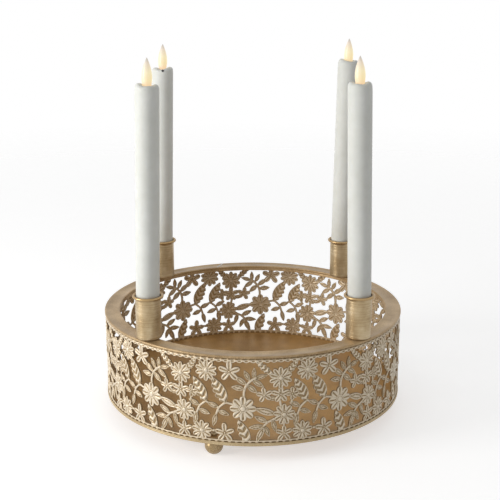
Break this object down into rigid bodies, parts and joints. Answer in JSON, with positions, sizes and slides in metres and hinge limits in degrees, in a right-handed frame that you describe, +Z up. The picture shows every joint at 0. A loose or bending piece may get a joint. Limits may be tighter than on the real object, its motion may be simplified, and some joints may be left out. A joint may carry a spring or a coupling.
{
  "type": "candle wreath tray",
  "caption": "Round gold metal tray on ball feet with a pierced flower band and a flat rim; cups on the rim hold battery taper candles that lift out, with twist-off base caps and slide switches.",
  "frame": {"origin": "on the table, under the middle of the tray", "axes": "+Z up along the candles, -Y towards the front of the picture, +X to its right"},
  "size_m": [0.3, 0.3, 0.365],
  "materials": {
    "rim": "champagne gold lacquer, satin",
    "band": "pale gold lacquer, bright on the raised edges, browner in the recesses",
    "pan": "antique gold lacquer, satin",
    "cup": "gold lacquer over fine turned lines",
    "foot": "gold lacquer, polished",
    "steel": "plated, dull",
    "wax": "real wax coat, satin, off-white",
    "flame": "frosted, lit from inside with warm white light",
    "board": "solder mask",
    "holder": "moulded",
    "cell": "bare can, unlabelled",
    "cap": "moulded, off-white",
    "switch": "moulded, black"
  },
  "bodies": {
    "tray": {"rim_ring": "rim", "tray_pan": "pan", "lace_panel_01": "band", "lace_panel_02": "band", "lace_panel_03": "band", "lace_panel_04": "band", "lace_panel_05": "band", "lace_panel_06": "band", "lace_panel_07": "band", "lace_panel_08": "band", "lace_panel_09": "band", "lace_panel_10": "band", "ball_foot_1": "foot", "foot_screw_1": "steel", "ball_foot_2": "foot", "foot_screw_2": "steel", "ball_foot_3": "foot", "foot_screw_3": "steel", "candle_cup_front_left": "cup", "cup_rivet_front_left": "steel", "candle_cup_front_right": "cup", "cup_rivet_front_right": "steel", "candle_cup_back_right": "cup", "cup_rivet_back_right": "steel", "candle_cup_back_left": "cup", "cup_rivet_back_left": "steel"},
    "candle_front_left": {"wax_front_left": "wax", "flame_front_left": "flame", "led_board_front_left": "board", "battery_holder_front_left": "holder", "lower_cell_front_left": "cell", "upper_cell_front_left": "cell"},
    "cap_front_left": {"base_cap_front_left": "cap"},
    "slider_front_left": {"switch_front_left": "switch"},
    "candle_front_right": {"wax_front_right": "wax", "flame_front_right": "flame", "led_board_front_right": "board", "battery_holder_front_right": "holder", "lower_cell_front_right": "cell", "upper_cell_front_right": "cell"},
    "cap_front_right": {"base_cap_front_right": "cap"},
    "slider_front_right": {"switch_front_right": "switch"},
    "candle_back_right": {"wax_back_right": "wax", "flame_back_right": "flame", "led_board_back_right": "board", "battery_holder_back_right": "holder", "lower_cell_back_right": "cell", "upper_cell_back_right": "cell"},
    "cap_back_right": {"base_cap_back_right": "cap"},
    "slider_back_right": {"switch_back_right": "switch"},
    "candle_back_left": {"wax_back_left": "wax", "flame_back_left": "flame", "led_board_back_left": "board", "battery_holder_back_left": "holder", "lower_cell_back_left": "cell", "upper_cell_back_left": "cell"},
    "cap_back_left": {"base_cap_back_left": "cap"},
    "slider_back_left": {"switch_back_left": "switch"}
  },
  "joints": [
    {"name": "lift_front_left", "type": "slide", "parent": "tray", "child": "candle_front_left", "axis": [0.0209, 0, 0.9998], "range_m": [0, 0.05]},
    {"name": "cap_twist_front_left", "type": "hinge", "parent": "candle_front_left", "child": "cap_front_left", "pos_m": [-0.09708, -0.09878, 0.1463], "axis": [0.0209, 0, 0.9998], "range_deg": [0, 90]},
    {"name": "switch_slide_front_left", "type": "slide", "parent": "cap_front_left", "child": "slider_front_left", "axis": [0.9998, 0, -0.0209], "range_m": [0, 0.0025]},
    {"name": "lift_front_right", "type": "slide", "parent": "tray", "child": "candle_front_right", "axis": [-0.0227, 0, 0.9997], "range_m": [0, 0.05]},
    {"name": "cap_twist_front_right", "type": "hinge", "parent": "candle_front_right", "child": "cap_front_right", "pos_m": [0.09878, -0.09708, 0.1463], "axis": [-0.0227, 0, 0.9997], "range_deg": [0, 90]},
    {"name": "switch_slide_front_right", "type": "slide", "parent": "cap_front_right", "child": "slider_front_right", "axis": [0.9997, 0, 0.0227], "range_m": [0, 0.0025]},
    {"name": "lift_back_right", "type": "slide", "parent": "tray", "child": "candle_back_right", "axis": [0.0175, 0, 0.9998], "range_m": [0, 0.05]},
    {"name": "cap_twist_back_right", "type": "hinge", "parent": "candle_back_right", "child": "cap_back_right", "pos_m": [0.09708, 0.09878, 0.1463], "axis": [0.0175, 0, 0.9998], "range_deg": [0, 90]},
    {"name": "switch_slide_back_right", "type": "slide", "parent": "cap_back_right", "child": "slider_back_right", "axis": [0.9998, 0, -0.0175], "range_m": [0, 0.0025]},
    {"name": "lift_back_left", "type": "slide", "parent": "tray", "child": "candle_back_left", "axis": [0.0218, 0, 0.9998], "range_m": [0, 0.05]},
    {"name": "cap_twist_back_left", "type": "hinge", "parent": "candle_back_left", "child": "cap_back_left", "pos_m": [-0.09878, 0.09708, 0.1463], "axis": [0.0218, 0, 0.9998], "range_deg": [0, 90]},
    {"name": "switch_slide_back_left", "type": "slide", "parent": "cap_back_left", "child": "slider_back_left", "axis": [0.9998, 0, -0.0218], "range_m": [0, 0.0025]}
  ]
}
